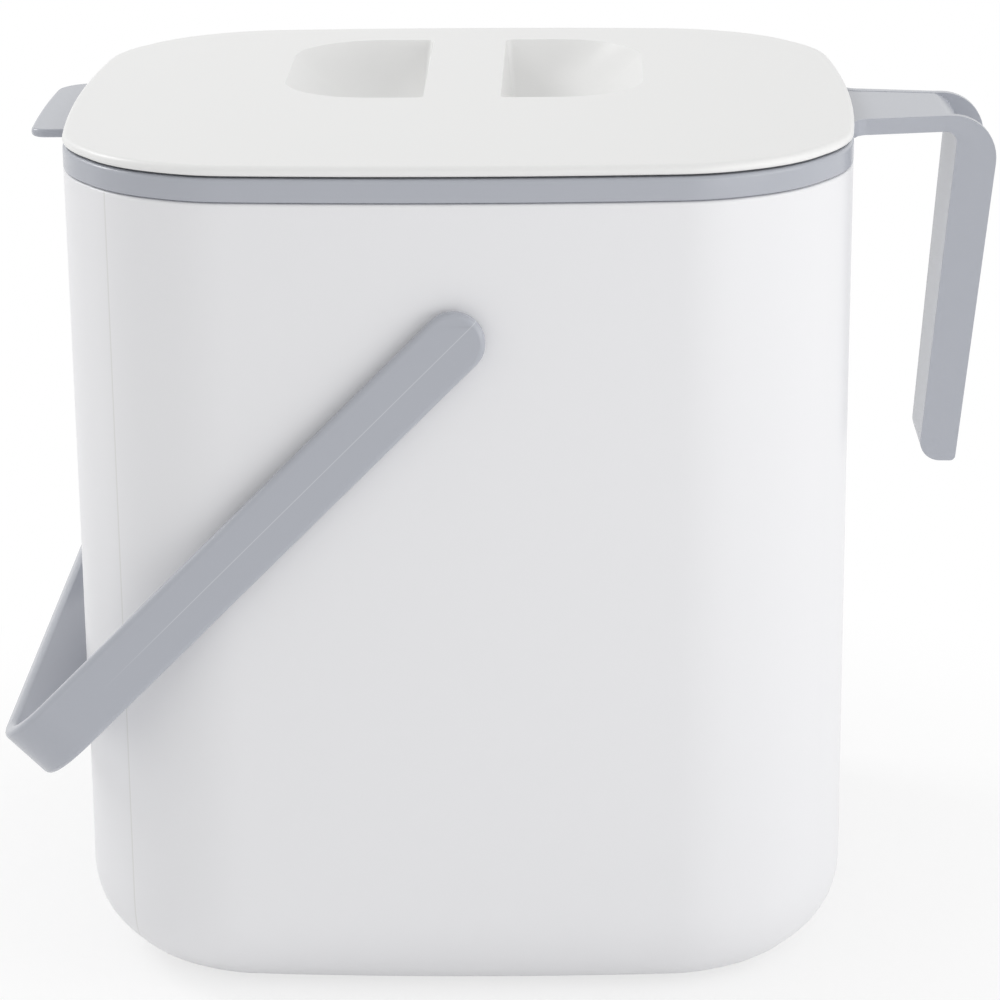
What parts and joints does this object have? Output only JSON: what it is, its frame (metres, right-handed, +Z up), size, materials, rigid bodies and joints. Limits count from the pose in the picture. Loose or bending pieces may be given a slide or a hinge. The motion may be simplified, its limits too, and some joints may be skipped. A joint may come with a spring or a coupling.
{
  "type": "compost caddy",
  "caption": "Rounded kitchen compost caddy: white bin, grey lift-out bucket with side grip and tab, lift-off lid with finger pockets, and a swinging strap handle",
  "frame": {"origin": "centre of the base, on the surface the bin stands on", "axes": "+X is the bin's width towards the side grip, -Y is the front wall seen in the picture, +Z is up"},
  "size_m": [0.301, 0.2312, 0.2604],
  "materials": {
    "outer_bin": "satin injection-moulded polypropylene",
    "inner_bucket": "satin injection-moulded polypropylene",
    "lid": "satin injection-moulded polypropylene",
    "lid_seal": "soft silicone",
    "handle": "satin injection-moulded polypropylene"
  },
  "bodies": {
    "bin": {"outer_bin": "outer_bin"},
    "bucket": {"inner_bucket": "inner_bucket"},
    "cover": {"lid": "lid", "lid_seal": "lid_seal"},
    "carry_handle": {"handle": "handle"}
  },
  "joints": [
    {"name": "handle_swing", "type": "hinge", "parent": "bin", "child": "carry_handle", "pos_m": [0, 0, 0.21], "axis": [0, 1, 0], "range_deg": [0, 269.9]},
    {"name": "bucket_lift", "type": "slide", "parent": "bin", "child": "bucket", "axis": [0, 0, 1], "range_m": [0, 0.26]},
    {"name": "lid_lift", "type": "slide", "parent": "bucket", "child": "cover", "axis": [0, 0, 1], "range_m": [0, 0.06]}
  ]
}
